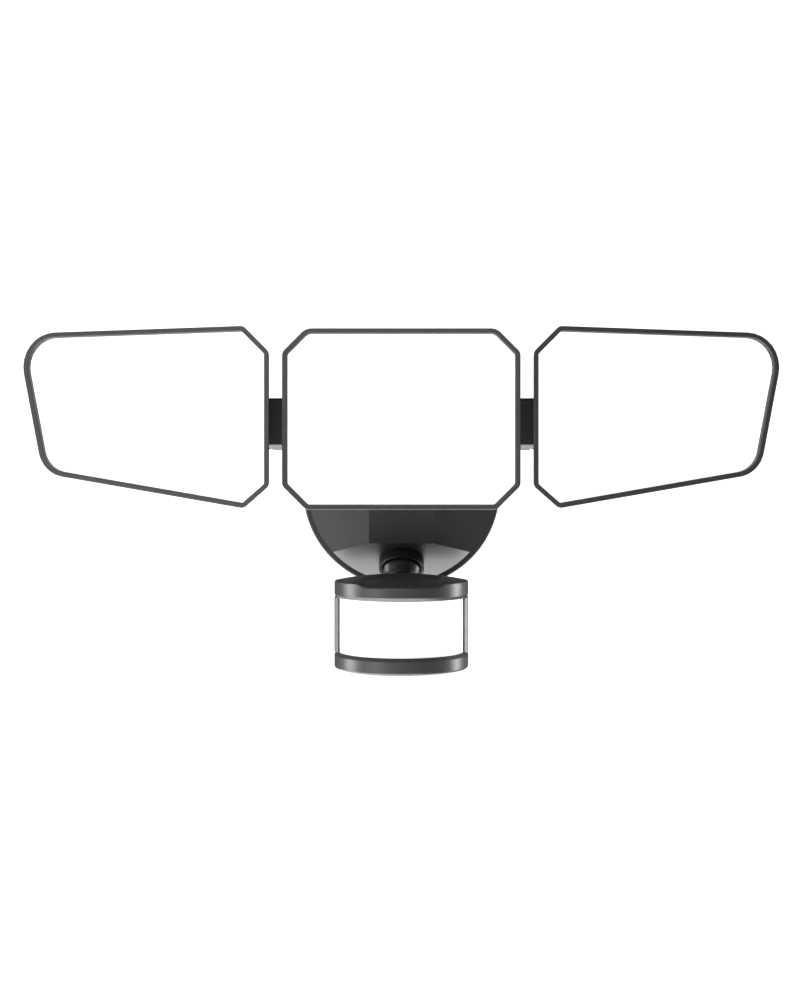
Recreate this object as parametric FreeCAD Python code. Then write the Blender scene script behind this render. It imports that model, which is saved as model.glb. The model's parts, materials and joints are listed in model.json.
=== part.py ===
"""Motion sensor security light: three flat LED heads on a wall canopy, with a sensor on a ball joint.

The wall is the plane y = 0, the light faces -y, +x is to the viewer's right and +z is up.
The origin is the centre of the canopy on the wall. Sizes are in millimetres.
"""
import FreeCAD, Part
import math
import os

from FreeCAD import Vector

# ---- driving dimensions -------------------------------------------------------------------
# canopy: a faceted dome on a round rim
canopyRadius = 65.8
canopyBodyRadius = 62.2
canopyFrontRadius = 59.6
canopyDepth = 38.0
rimThickness = 3.0
rimEdgeRadius = 1.0
gasketThickness = 1.5
canopyWall = 2.5
frontFacetHalfWidth = 20.7
sideFacetAngle = 15.0
lowerFacetStart = 35.0
upperFacetStart = 46.0
slopeAngle = 47.5

# the horizontal axis that all three heads tilt on
tiltAxisY = -71.5
tiltAxisZ = 39.0
barSize = 30.2
barChamfer = 2.0
bridgeHalfLength = 46.0
passageX = 25.0
passageRadius = 3.5
neckLow = 4.0
neckHigh = 44.0
neckHalfWidth = 34.0
neckWaist = 28.0
neckInside = -28.0

# heads: depths are measured back from the front of the bezel
headReach = 50.5
bezelDepth = 3.5
bezelLip = 2.8
bezelTaper = 0.9
rimInset = 1.9
lensInset = 2.6
lensThickness = 2.0
gasketSeat = 1.0
headBackDepth = 20.0
finDepth = 7.0
centreWidth = 136.1
centreHeight = 103.5
centreChamfer = 13.6
centreUpperRadius = 8.0
cornerRadius = 4.5

# side heads: the pan pin, the rest angle and the outline about the pin
panX = 95.3
panRestAngle = 10.0
sideInner = -29.4
sideChamfer = 15.0
sideTopInner = 53.0
sideTopOuter = (124.6, 51.7)
sideBottomOuter = (108.0, -30.6)
sideBottomInner = -53.5
sideOuterTopRadius = 20.0
sideOuterBottomRadius = 18.0

# hinges
pinRadius = 4.0
runningClearance = 0.05
sideClearance = 0.2
tongueHalfWidth = 8.0
centreTongueRadius = 12.0
armTongueHalfHeight = 7.5
spigotRadius = 9.0
spigotBore = 5.0
spigotLength = 13.5
armWasherThickness = 0.8
knuckleBase = 4.0

# ball joint on the lower facet: distances along the facet's normal, from the facet
socketZ = -47.6
ballRadius = 13.0
ballHeight = 3.5
collarRadius = 14.7
collarHeight = 8.0
collarFlangeRadius = 17.4
retainerScrewRadius = 15.3
ballGap = 0.2
stemRadius = 8.0
stemReach = 16.0
threadRadius = 6.5
wireBore = 3.0

# sensor: a round-fronted case under the canopy
sensorRadius = 42.0
sensorCentreY = -52.0
sensorRearY = -26.0
sensorRearCorner = 8.0
sensorTopEdge = -57.5
sensorCrownRise = 4.5
sensorCapBottom = -67.9
sensorSillTop = -101.6
sensorBottom = -112.2
sensorWall = 2.5
capBevelHeight = 2.1
capBevelDepth = 1.6
postFrontY = -62.3
postFrontHalfWidth = 39.2
postFacetAngle = 51.0
sensorLensThickness = 1.2
dipBottomHalfWidth = 22.3
dipTopHalfWidth = 26.2
dipDepth = 2.0
dipRearY = -58.0
knobSpacing = 20.0
knobY = -59.0
knobRadius = 5.5

# mounting strap
boxScrewSpacing = 88.9
boxSlotWidth = 4.8
boxSlotLength = 9.0
strapThickness = 2.0
canopyScrewX = 32.0

# ---- places worked out from them -------------------------------------------------------------
tiltAxis = Vector(0, tiltAxisY, tiltAxisZ)
panPin = Vector(panX, tiltAxisY, tiltAxisZ)
headBackY = headBackDepth - headReach
finEndY = headBackY + finDepth
baseBackY = headBackY + knuckleBase
halfBar = barSize / 2.0
armInnerX = bridgeHalfLength + armWasherThickness + sideClearance
armStepX = panX - halfBar - 0.5
slope = math.radians(slopeAngle)
facetNormal = Vector(0, -math.cos(slope), -math.sin(slope))
facetUp = Vector(0, -math.sin(slope), math.cos(slope))
socketY = -canopyDepth + (-lowerFacetStart - socketZ) * math.tan(slope)
socketBase = Vector(0, socketY, socketZ)
ballCentre = socketBase + facetNormal * ballHeight
shoulderPoint = ballCentre + facetNormal * stemReach

xAxis = Vector(1, 0, 0)
yAxis = Vector(0, 1, 0)
zAxis = Vector(0, 0, 1)


# ---- helpers ---------------------------------------------------------------------------------
def box(low, high):
    size = Vector(*high) - Vector(*low)
    return Part.makeBox(size.x, size.y, size.z, Vector(*low))


def rod(start, direction, radius, length):
    return Part.makeCylinder(radius, length, start, direction)


def ring(start, direction, outer, inner, length):
    return rod(start, direction, outer, length).cut(rod(start, direction, inner, length))


def prism(points, axis, low, high):
    """A straight prism: points are the two other coordinates in x, y, z order."""
    place = {
        "x": lambda a, b: Vector(low, a, b),
        "y": lambda a, b: Vector(a, low, b),
        "z": lambda a, b: Vector(a, b, low),
    }[axis]
    corners = [place(a, b) for a, b in points]
    face = Part.Face(Part.makePolygon(corners + corners[:1]))
    push = {"x": xAxis, "y": yAxis, "z": zAxis}[axis] * (high - low)
    return face.extrude(push)


def fuse(shapes):
    whole = shapes[0]
    if len(shapes) > 1:
        whole = whole.multiFuse(shapes[1:])
    return whole.removeSplitter()


def hexagon(centre, direction, acrossFlats, length):
    """A hexagonal prism that starts at centre and runs along direction."""
    radius = acrossFlats / 2.0 / math.cos(math.pi / 6)
    circle = Part.Circle(centre, direction, radius).toShape()
    step = circle.ParameterRange[1] / 6.0
    corners = [circle.valueAt(n * step) for n in range(6)]
    face = Part.Face(Part.makePolygon(corners + corners[:1]))
    return face.extrude(Vector(direction) * length)


def screw(seat, direction, shankRadius, shankLength, headRadius, headHeight):
    """A pan-head screw: its head sits on seat and its shank runs along direction."""
    shank = rod(seat, direction, shankRadius, shankLength)
    head = rod(seat - direction * headHeight, direction, headRadius, headHeight)
    slotWidth = headRadius * 0.3
    slotDepth = headHeight * 0.5
    cross = []
    for angle in (0, 90):
        blade = Part.makeBox(headRadius * 1.3, slotWidth, slotDepth * 2)
        blade.translate(Vector(-headRadius * 0.65, -slotWidth / 2, -slotDepth))
        blade.rotate(Vector(), zAxis, angle)
        cross.append(blade)
    drive = cross[0].fuse(cross[1])
    drive.Placement = FreeCAD.Placement(
        seat - direction * headHeight, FreeCAD.Rotation(zAxis, direction)
    )
    return shank.fuse(head).cut(drive).removeSplitter()


def chamferedBar(startX, endX):
    """The square bar section of the bridge and the arms, about the tilt axis."""
    cut = halfBar - barChamfer
    points = []
    for a, b in ((1, 1), (-1, 1), (-1, -1), (1, -1)):
        pair = [(a * halfBar, b * cut), (a * cut, b * halfBar)]
        points += pair if a * b > 0 else pair[::-1]
    outline = [(tiltAxisY + y, tiltAxisZ + z) for y, z in points]
    return prism(outline, "x", startX, endX)


def save(shape, name):
    shape.exportStep("parts/" + name + ".step")


def mirrored(shape):
    return shape.mirror(Vector(), xAxis)


# ---- head outlines ---------------------------------------------------------------------------
def insetCorners(corners, inset):
    """The same polygon with every side moved inwards, and its corner radii made smaller."""
    moved = []
    count = len(corners)
    for i in range(count):
        before = corners[i - 1]
        here = corners[i]
        after = corners[(i + 1) % count]
        first = Vector(here[0] - before[0], here[1] - before[1], 0).normalize()
        second = Vector(after[0] - here[0], after[1] - here[1], 0).normalize()
        bisector = Vector(-first.y - second.y, first.x + second.x, 0)
        reach = 2.0 * inset / (bisector.Length ** 2)
        point = (here[0] + bisector.x * reach, here[1] + bisector.y * reach)
        moved.append((point[0], point[1], max(here[2] - inset, 0.8)))
    return moved


def roundedWire(corners, y):
    """A closed wire in the plane y, anticlockwise corners (x, z, radius) joined by tangent arcs."""
    edges = []
    ends = []
    count = len(corners)
    for i in range(count):
        here = Vector(corners[i][0], y, corners[i][1])
        before = Vector(corners[i - 1][0], y, corners[i - 1][1]) - here
        after = Vector(corners[(i + 1) % count][0], y, corners[(i + 1) % count][1]) - here
        before.normalize()
        after.normalize()
        half = before.getAngle(after) / 2.0
        tangent = corners[i][2] / math.tan(half)
        middle = (before + after).normalize()
        centre = here + middle * (corners[i][2] / math.sin(half))
        ends.append((here + before * tangent, centre - middle * corners[i][2], here + after * tangent))
    for i in range(count):
        start, crown, end = ends[i]
        edges.append(Part.Arc(start, crown, end).toShape())
        edges.append(Part.LineSegment(end, ends[(i + 1) % count][0]).toShape())
    return Part.Wire(edges)


def slab(corners, sections):
    """A solid through the outline at (depth, inset) pairs, with straight sides between them."""
    wires = [
        roundedWire(insetCorners(corners, inset) if inset else corners, depth - headReach)
        for depth, inset in sections
    ]
    return Part.makeLoft(wires, True, True)


def centreOutline():
    """The centre head's rectangle with its four cut corners."""
    w = centreWidth / 2.0
    h = centreHeight / 2.0
    c = centreChamfer
    points = [(w, -h + c), (w, h - c), (w - c, h), (-w + c, h)]
    points += [(-w, h - c), (-w, -h + c), (-w + c, -h), (w - c, -h)]
    return [(x, z, centreUpperRadius if z == h else cornerRadius) for x, z in points]


def along(start, end, distance):
    step = Vector(end[0] - start[0], end[1] - start[1], 0).normalize() * distance
    return (start[0] + step.x, start[1] + step.y)


def sideOutline():
    """The right head: cut corners next to the arm, rounded corners at the outer end."""
    top = (sideInner, sideTopInner)
    bottom = (sideInner, sideBottomInner)
    points = [
        along(bottom, sideBottomOuter, sideChamfer) + (cornerRadius,),
        sideBottomOuter + (sideOuterBottomRadius,),
        sideTopOuter + (sideOuterTopRadius,),
        along(top, sideTopOuter, sideChamfer) + (cornerRadius,),
        (sideInner, sideTopInner - sideChamfer, cornerRadius),
        (sideInner, sideBottomInner + sideChamfer, cornerRadius),
    ]
    return points


# ---- one LED head, built about its hinge at the origin ---------------------------------------
def bezel(corners):
    outer = slab(corners, [(0, 0.4), (0.5, 0), (bezelDepth, bezelTaper)])
    return outer.cut(slab(corners, [(-1, bezelLip), (bezelDepth + 1, bezelLip)]))


def opalLens(corners):
    return slab(corners, [(bezelDepth, lensInset), (bezelDepth + lensThickness, lensInset)])


def lensGasket(corners):
    start = bezelDepth + lensThickness
    outer = slab(corners, [(start, lensInset), (start + gasketSeat, lensInset)])
    return outer.cut(slab(corners, [(start - 1, 4.5), (start + gasketSeat + 1, 4.5)]))


def heatSink(corners, finPitch, baseHalfWidth, baseHalfHeight):
    """The cast back of a head: a tapered tray with upright fins around the hinge's seat."""
    seat = bezelDepth + lensThickness + gasketSeat
    tray = slab(corners, [(bezelDepth, bezelTaper), (seat + 1.0, rimInset), (headBackDepth, 11.0)])
    lensPocket = slab(corners, [(bezelDepth - 1, lensInset), (seat, lensInset)])
    cavity = slab(corners, [(seat - 0.5, 4.5), (seat, 4.5), (headBackDepth - 2.0, 13.5)])
    tray = tray.cut(lensPocket).cut(cavity)
    finZone = slab(corners, [(headBackDepth - 0.5, 13.0), (headBackDepth + finDepth, 18.0)])
    low = finZone.BoundBox
    fins = []
    count = int((low.XMax - low.XMin) / finPitch)
    start = (low.XMax + low.XMin) / 2.0 - (count - 1) * finPitch / 2.0
    for n in range(count):
        x = start + n * finPitch
        fins.append(box((x - 1.0, headBackY - 0.5, low.ZMin), (x + 1.0, finEndY, low.ZMax)))
    ribs = Part.makeCompound(fins).common(finZone)
    hingeSeat = box(
        (-baseHalfWidth - 1, headBackY, -baseHalfHeight - 1),
        (baseHalfWidth + 1, finEndY + 1, baseHalfHeight + 1),
    )
    ribs = ribs.cut(hingeSeat)
    return fuse([tray] + ribs.Solids)


def ledBoard(corners):
    return slab(corners, [(headBackDepth - 3.6, 17.0), (headBackDepth - 2.0, 17.0)])


def ledChips(corners, columns, rows):
    """A grid of LED packages on the front of the board."""
    area = slab(corners, [(0, 21.0), (1, 21.0)]).BoundBox
    front = headBackDepth - 3.6 - headReach
    chips = []
    for i in range(columns):
        for j in range(rows):
            x = area.XMin + (area.XMax - area.XMin) * (i + 0.5) / columns
            z = area.ZMin + (area.ZMax - area.ZMin) * (j + 0.5) / rows
            chips.append(box((x - 1.75, front - 0.8, z - 1.75), (x + 1.75, front, z + 1.75)))
    inside = slab(corners, [(headBackDepth - 6.0, 21.0), (headBackDepth - 2.0, 21.0)])
    kept = [chip for chip in chips if inside.isInside(chip.CenterOfMass, 0.01, True)]
    return Part.makeCompound(kept)


def baseScrewPlaces(halfWidth, halfHeight):
    return [(x, z) for x in (-halfWidth, halfWidth) for z in (-halfHeight, halfHeight)]


def drillBase(shape, places):
    for x, z in places:
        shape = shape.cut(rod(Vector(x, headBackY - 8, z), yAxis, 1.75, 30))
    return shape


def baseScrews(places):
    return Part.makeCompound(
        [screw(Vector(x, baseBackY, z), -yAxis, 1.7, 8.0, 3.0, 2.0) for x, z in places]
    )


def centreKnuckle(places):
    """A tongue on a screwed base; the hinge bolt goes through its round end."""
    base = box((-18, headBackY, -16), (18, baseBackY, 16))
    tongue = box((-tongueHalfWidth, baseBackY - 1, -centreTongueRadius), (tongueHalfWidth, 0, centreTongueRadius))
    eye = rod(Vector(-tongueHalfWidth, 0, 0), xAxis, centreTongueRadius, 2 * tongueHalfWidth)
    bore = rod(Vector(-tongueHalfWidth - 1, 0, 0), xAxis, pinRadius + runningClearance, 2 * tongueHalfWidth + 2)
    return drillBase(fuse([base, tongue, eye]).cut(bore), places)


def sideKnuckle(places):
    """Two lugs on a screwed base; they hold the arm's tongue between them."""
    base = box((-halfBar, headBackY, -22), (halfBar, baseBackY, 22))
    inner = armTongueHalfHeight + sideClearance
    lugs = []
    for bottom, top in ((inner, halfBar), (-halfBar, -inner)):
        lugs.append(box((-halfBar, baseBackY - 1, bottom), (halfBar, 0, top)))
        lugs.append(rod(Vector(0, 0, bottom), zAxis, halfBar, top - bottom))
    bore = rod(Vector(0, 0, -halfBar - 1), zAxis, pinRadius + runningClearance, barSize + 2)
    return drillBase(fuse([base] + lugs).cut(bore), places)


def headPieces(corners, knuckle, screwPlaces, baseHalf, columns, rows):
    sink = heatSink(corners, 9.0, baseHalf[0], baseHalf[1])
    for x, z in screwPlaces:
        sink = sink.cut(rod(Vector(x, headBackY - 6, z), yAxis, 1.75, 8))
    return {
        "bezel": bezel(corners),
        "lens": opalLens(corners),
        "lens_gasket": lensGasket(corners),
        "heat_sink": sink,
        "led_board": drillBoard(ledBoard(corners), screwPlaces),
        "leds": ledChips(corners, columns, rows),
        "knuckle": knuckle,
        "knuckle_screws": baseScrews(screwPlaces),
    }


def drillBoard(board, places):
    for x, z in places:
        board = board.cut(rod(Vector(x, headBackY - 9, z), yAxis, 2.2, 20))
    return board


def makeHeads():
    centrePlaces = baseScrewPlaces(13.0, 11.0)
    centre = headPieces(
        centreOutline(), centreKnuckle(centrePlaces), centrePlaces, (18.0, 16.0), 6, 4
    )
    for name, shape in centre.items():
        shape.translate(tiltAxis)
        save(shape, "centre_" + name)
    sidePlaces = baseScrewPlaces(9.0, 18.2)
    side = headPieces(
        sideOutline(), sideKnuckle(sidePlaces), sidePlaces, (halfBar, 22.0), 7, 4
    )
    for name, shape in side.items():
        shape.rotate(Vector(), zAxis, panRestAngle)
        shape.translate(panPin)
        save(shape, "right_" + name)
        save(mirrored(shape), "left_" + name)


# ---- side arms ---------------------------------------------------------------------------------
def sideArm():
    """The right arm: a spigot in the bridge, a square bar and a round-ended tongue."""
    bar = chamferedBar(armInnerX, armStepX)
    spigot = rod(Vector(armInnerX - spigotLength, tiltAxisY, tiltAxisZ), xAxis, spigotRadius, spigotLength + 1)
    low = tiltAxisZ - armTongueHalfHeight
    high = tiltAxisZ + armTongueHalfHeight
    tongue = box((armStepX - 1, tiltAxisY - halfBar, low), (panX, tiltAxisY + halfBar, high))
    eye = rod(Vector(panX, tiltAxisY, low), zAxis, halfBar, high - low)
    bore = rod(Vector(armInnerX - spigotLength - 1, tiltAxisY, tiltAxisZ), xAxis, spigotBore, armStepX - armInnerX + 18)
    pinHole = rod(Vector(panX, tiltAxisY, low - 1), zAxis, pinRadius, high - low + 2)
    return fuse([bar, spigot, tongue, eye]).cut(bore).cut(pinHole)


def pivotRivet():
    """The pan pin, with a formed head above and below the lugs."""
    gap = sideClearance
    shank = rod(panPin - zAxis * (halfBar + gap), zAxis, pinRadius, barSize + 2 * gap)
    top = Part.makeCone(6.5, 5.2, 2.3, panPin + zAxis * (halfBar + gap), zAxis)
    bottom = Part.makeCone(6.5, 5.2, 2.3, panPin - zAxis * (halfBar + gap), -zAxis)
    return fuse([shank, top, bottom])


def makeArms():
    washer = ring(
        Vector(bridgeHalfLength, tiltAxisY, tiltAxisZ), xAxis, 13.5, spigotRadius + 0.3, armWasherThickness
    )
    for name, shape in (("arm", sideArm()), ("pivot_rivet", pivotRivet()), ("arm_washer", washer)):
        save(shape, "right_" + name)
        save(mirrored(shape), "left_" + name)


# ---- bridge between the canopy and the heads ---------------------------------------------------
def bridgeScrewPlaces():
    return [(x, z) for x in (-12.0, 12.0) for z in (12.0, 38.0)]


def bridge():
    """The casting that carries all three heads: a cross bar on a sloping neck."""
    low = tiltAxisZ - halfBar
    high = tiltAxisZ + halfBar
    barBack = tiltAxisY + halfBar
    barFront = tiltAxisY
    profile = [
        (barFront, low),
        (barBack - 1, low),
        (2 - canopyDepth, neckLow),
        (neckInside, neckLow),
        (neckInside, neckHigh),
        (-canopyDepth, neckHigh),
        (barBack + 5, high),
        (barFront, high),
    ]
    half = [(neckWaist, barFront), (neckWaist, barBack - 1), (neckHalfWidth, -45), (neckHalfWidth, neckInside)]
    plan = half + [(-x, y) for x, y in reversed(half)]
    neck = prism(profile, "x", -neckHalfWidth, neckHalfWidth).common(prism(plan, "z", 0, high + 1))
    neck = neck.cut(canopyForm(0))
    body = fuse([chamferedBar(-bridgeHalfLength, bridgeHalfLength), neck])
    slotHalf = tongueHalfWidth + sideClearance
    slot = box(
        (-slotHalf, tiltAxisY - halfBar - 1, low - 1),
        (slotHalf, tiltAxisY + centreTongueRadius + 1, high + 1),
    )
    body = body.cut(slot)
    for side in (-1, 1):
        outward = xAxis * side
        end = Vector(side * (bridgeHalfLength + 1), tiltAxisY, tiltAxisZ)
        body = body.cut(rod(end, -outward, spigotRadius + runningClearance, spigotLength + 2))
        body = body.cut(rod(end, -outward, 6.3, bridgeHalfLength + 1 - 16))
        body = body.cut(rod(Vector(side * passageX, tiltAxisY, tiltAxisZ), yAxis, passageRadius, 50))
    body = body.cut(rod(Vector(-30, tiltAxisY, tiltAxisZ), xAxis, pinRadius, 60))
    for x, z in bridgeScrewPlaces():
        body = body.cut(rod(Vector(x, -canopyDepth - 10, z), yAxis, 1.9, 12))
    return body


def makeBridge():
    save(bridge(), "bridge_casting")
    boltStart = Vector(16, tiltAxisY, tiltAxisZ)
    bolt = rod(boltStart + xAxis, -xAxis, pinRadius, 39).fuse(hexagon(boltStart, xAxis, 10.0, 3.5))
    bolt = bolt.removeSplitter()
    nut = hexagon(boltStart - xAxis * 32, -xAxis, 10.0, 4.0).cut(
        rod(boltStart - xAxis * 30, -xAxis, pinRadius, 10)
    )
    save(bolt, "centre_hinge_bolt")
    save(nut, "centre_hinge_nut")
    screws = []
    for x, z in bridgeScrewPlaces():
        screws.append(screw(Vector(x, -canopyDepth + canopyWall, z), -yAxis, 1.9, 11.0, 3.6, 2.4))
    save(Part.makeCompound(screws), "bridge_screws")


# ---- canopy ------------------------------------------------------------------------------------
def canopyForm(inset):
    """The dome without its rim, with every face moved inwards by inset."""
    front = -canopyDepth + inset
    side = math.radians(sideFacetAngle)
    cornerX = frontFacetHalfWidth - inset * math.tan(side / 2)
    edgeX = canopyRadius + 5
    edgeY = front + (edgeX - cornerX) * math.tan(side)
    plan = [(-edgeX, 10), (-edgeX, edgeY), (-cornerX, front), (cornerX, front), (edgeX, edgeY), (edgeX, 10)]
    lowZ = -(lowerFacetStart - inset * math.tan(slope / 2))
    highZ = upperFacetStart - inset * math.tan(slope / 2)
    reach = 60.0
    drop = reach / math.tan(slope)
    profile = [
        (front + reach, lowZ - drop),
        (front, lowZ),
        (front, highZ),
        (front + reach, highZ + drop),
    ]
    height = canopyDepth - gasketThickness
    start = Vector(0, -canopyDepth, 0)
    dome = Part.makeCone(canopyFrontRadius - inset, canopyBodyRadius - inset, height, start, yAxis)
    dome = dome.common(prism(plan, "z", -edgeX, edgeX))
    return dome.common(prism(profile, "x", -edgeX, edgeX))


def canopyShell():
    back = -gasketThickness
    rim = rod(Vector(0, back - rimThickness, 0), yAxis, canopyRadius, rimThickness)
    front = [e for e in rim.Edges if abs(e.BoundBox.YMax - (back - rimThickness)) < 0.01]
    rim = rim.makeFillet(rimEdgeRadius, front)
    shell = fuse([rim, canopyForm(0)]).cut(canopyForm(canopyWall))
    bosses = []
    for side in (-1, 1):
        start = Vector(side * canopyScrewX, -canopyDepth, 0)
        bosses.append(rod(start, yAxis, 6.5, canopyDepth - 6.0).common(canopyForm(0)))
    shell = fuse([shell] + bosses)
    for side in (-1, 1):
        start = Vector(side * canopyScrewX, -canopyDepth - 1, 0)
        shell = shell.cut(rod(start, yAxis, 4.4, canopyDepth - 9.0))
        shell = shell.cut(rod(start, yAxis, 2.2, canopyDepth + 5))
        shell = shell.cut(rod(Vector(side * passageX, -canopyDepth - 2, tiltAxisZ), yAxis, passageRadius, 12))
    for x, z in bridgeScrewPlaces():
        shell = shell.cut(rod(Vector(x, -canopyDepth - 2, z), yAxis, 1.95, 8))
    return shell.cut(rod(socketBase - facetNormal * 8, facetNormal, collarRadius, 12))


def wallGasket():
    back = Vector(0, -gasketThickness, 0)
    return ring(back, yAxis, canopyRadius - 1.0, canopyBodyRadius - canopyWall, gasketThickness)


def mountingStrap():
    """The steel strap on the wall box, with two slots for the box screws."""
    strap = box((-54, -strapThickness, -12), (54, 0, 12))
    for side in (-1, 1):
        middle = side * boxScrewSpacing / 2.0
        half = (boxSlotLength - boxSlotWidth) / 2.0
        slot = box((middle - half, -5, -boxSlotWidth / 2), (middle + half, 5, boxSlotWidth / 2))
        for end in (-half, half):
            slot = slot.fuse(rod(Vector(middle + end, -5, 0), yAxis, boxSlotWidth / 2, 10))
        strap = strap.cut(slot.removeSplitter())
        strap = strap.cut(rod(Vector(side * canopyScrewX, -5, 0), yAxis, 2.0, 10))
    strap = strap.cut(rod(Vector(0, -5, 0), yAxis, 5.0, 10))
    return strap.cut(rod(Vector(18, -5, 6), yAxis, 2.0, 10))


def bentLead(points, radius):
    """A lead along straight runs that meet in round joints."""
    pieces = [rod(a, b - a, radius, (b - a).Length) for a, b in zip(points, points[1:])]
    pieces += [Part.makeSphere(radius, p) for p in points[1:-1]]
    return fuse(pieces)


def makeCanopy():
    save(canopyShell(), "canopy_shell")
    save(wallGasket(), "wall_gasket")
    save(mountingStrap(), "mounting_bracket")
    screws = []
    for side in (-1, 1):
        seat = Vector(side * canopyScrewX, -10.0, 0)
        screws.append(screw(seat, yAxis, 2.0, 9.8, 4.0, 2.6))
    save(Part.makeCompound(screws), "canopy_screws")
    save(screw(Vector(18, -strapThickness, 6), yAxis, 2.0, 1.9, 4.2, 2.2), "ground_screw")
    driver = box((-24, -33, -25), (24, -11, -4))
    uprights = [e for e in driver.Edges if abs(e.tangentAt(e.FirstParameter).y) > 0.9]
    save(driver.makeFillet(2.5, uprights), "led_driver")
    connectors = []
    leads = []
    for n in range(3):
        x = (n - 1) * 15.0
        tip = Vector(x, -13.0, 36.0)
        cap = Part.makeCone(5.0, 3.2, 15.0, tip - zAxis * 15.0, zAxis)
        connectors.append(cap.cut(rod(tip - zAxis * 16, zAxis, 1.6, 12)))
        corner = Vector(x, -13.0, 2.0)
        leads.append(bentLead([Vector(x, -13.0, -4.0), corner, tip - zAxis * 5], 1.5))
    save(Part.makeCompound(connectors), "wire_connectors")
    save(Part.makeCompound(leads), "supply_leads")


# ---- ball joint --------------------------------------------------------------------------------
def fromFacet(distance):
    return socketBase + facetNormal * distance


def socketCollar():
    """The collar on the lower facet: its lip closes in past the middle of the ball."""
    tube = rod(fromFacet(-6), facetNormal, collarRadius, 6 + collarHeight)
    flange = rod(fromFacet(-6), facetNormal, collarFlangeRadius, 6 - canopyWall)
    bore = rod(fromFacet(-7), facetNormal, ballRadius + 0.15, 7 + ballHeight)
    ballRoom = Part.makeSphere(ballRadius + ballGap, ballCentre)
    return fuse([tube, flange]).cut(bore).cut(ballRoom)


def ballSeat():
    """The cup behind the ball; it turns with the ball inside the collar."""
    cup = rod(fromFacet(-8), facetNormal, ballRadius + 0.1, 5)
    return cup.cut(Part.makeSphere(ballRadius + ballGap, ballCentre)).cut(
        rod(fromFacet(-9), facetNormal, 7.0, 8)
    )


def retainerScrewPlaces():
    places = []
    for n in range(3):
        angle = math.radians(90 + 120 * n)
        across = xAxis * math.cos(angle) + facetUp * math.sin(angle)
        places.append(across * retainerScrewRadius)
    return places


def socketRetainer():
    plate = rod(fromFacet(-10.6), facetNormal, collarFlangeRadius, 2.4)
    wall = ring(fromFacet(-8.2), facetNormal, collarFlangeRadius, 13.6, 2.2)
    shape = fuse([plate, wall]).cut(rod(fromFacet(-12), facetNormal, 8.5, 6))
    return drillRetainer(shape, -12, 8)


def drillRetainer(shape, start, length):
    for place in retainerScrewPlaces():
        shape = shape.cut(rod(fromFacet(start) + place, facetNormal, 1.3, length))
    return shape


def ballStem():
    ball = Part.makeSphere(ballRadius, ballCentre)
    stem = rod(ballCentre, facetNormal, stemRadius, stemReach)
    thread = rod(shoulderPoint, facetNormal, threadRadius, 9.0)
    bore = rod(ballCentre - facetNormal * 20, facetNormal, wireBore, 50)
    return fuse([ball, stem, thread]).cut(bore)


def makeBallJoint():
    save(drillRetainer(socketCollar(), -7, 4), "socket_collar")
    save(ballSeat(), "ball_seat")
    save(socketRetainer(), "socket_retainer")
    screws = [
        screw(fromFacet(-10.6) + place, facetNormal, 1.3, 7.0, 1.9, 1.4)
        for place in retainerScrewPlaces()
    ]
    save(Part.makeCompound(screws), "retainer_screws")
    save(ballStem(), "ball_stem")
    nut = hexagon(shoulderPoint + facetNormal * sensorWall, facetNormal, 18.0, 5.0)
    save(nut.cut(rod(shoulderPoint, facetNormal, threadRadius, 12)), "stem_locknut")


# ---- sensor ------------------------------------------------------------------------------------
def sensorPlan(inset, z):
    """Half a circle in front, straight sides and a flat rear with round corners."""
    radius = sensorRadius - inset
    rear = sensorRearY - inset
    corner = max(sensorRearCorner - inset, 1.0)
    centre = sensorCentreY
    diagonal = corner * (1 - math.sqrt(0.5))
    right = Vector(radius, centre, z)
    front = Vector(0, centre - radius, z)
    left = Vector(-radius, centre, z)
    edges = [
        Part.Arc(left, front, right),
        Part.LineSegment(right, Vector(radius, rear - corner, z)),
        Part.Arc(
            Vector(radius, rear - corner, z),
            Vector(radius - diagonal, rear - diagonal, z),
            Vector(radius - corner, rear, z),
        ),
        Part.LineSegment(Vector(radius - corner, rear, z), Vector(-radius + corner, rear, z)),
        Part.Arc(
            Vector(-radius + corner, rear, z),
            Vector(-radius + diagonal, rear - diagonal, z),
            Vector(-radius, rear - corner, z),
        ),
        Part.LineSegment(Vector(-radius, rear - corner, z), left),
    ]
    return Part.Face(Part.Wire([edge.toShape() for edge in edges]))


def sensorSlice(inset, low, high):
    return sensorPlan(inset, low).extrude(zAxis * (high - low))


def sensorTaper(lowInset, low, highInset, high):
    """A slice whose wall slopes evenly from one inset to another."""
    ends = [sensorPlan(lowInset, low).OuterWire, sensorPlan(highInset, high).OuterWire]
    return Part.makeLoft(ends, True, True)


def crownBall(inset):
    """The large sphere that the top of the sensor is rounded over."""
    rise = sensorCrownRise
    radius = (sensorRadius ** 2 + rise ** 2) / (2 * rise)
    return Part.makeSphere(radius - inset, Vector(0, sensorCentreY, sensorTopEdge + rise - radius))


def crownAndShoulder(solid, inset):
    """Rounds the top over the large sphere and cuts the rear shoulder parallel to the facet."""
    behind = Part.makeBox(200, 200, 200, Vector(-100, -100, 0))
    behind.Placement = FreeCAD.Placement(
        shoulderPoint + facetNormal * inset, FreeCAD.Rotation(zAxis, -facetNormal)
    )
    return solid.common(crownBall(inset)).cut(behind)


def frontDip():
    """A shallow recess of even depth in the crown, open at the front, with sloping ends."""
    low = sensorTopEdge - dipDepth
    flare = (dipTopHalfWidth - dipBottomHalfWidth) / dipDepth
    reach = 20.0
    bottom = dipBottomHalfWidth
    top = bottom + reach * flare
    section = [(-bottom, low), (bottom, low), (top, low + reach), (-top, low + reach)]
    band = prism(section, "y", sensorCentreY - sensorRadius - 10, dipRearY)
    width = box((-dipTopHalfWidth, -200, low - 1), (dipTopHalfWidth, 0, low + reach))
    return band.common(width).cut(crownBall(dipDepth))


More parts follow.
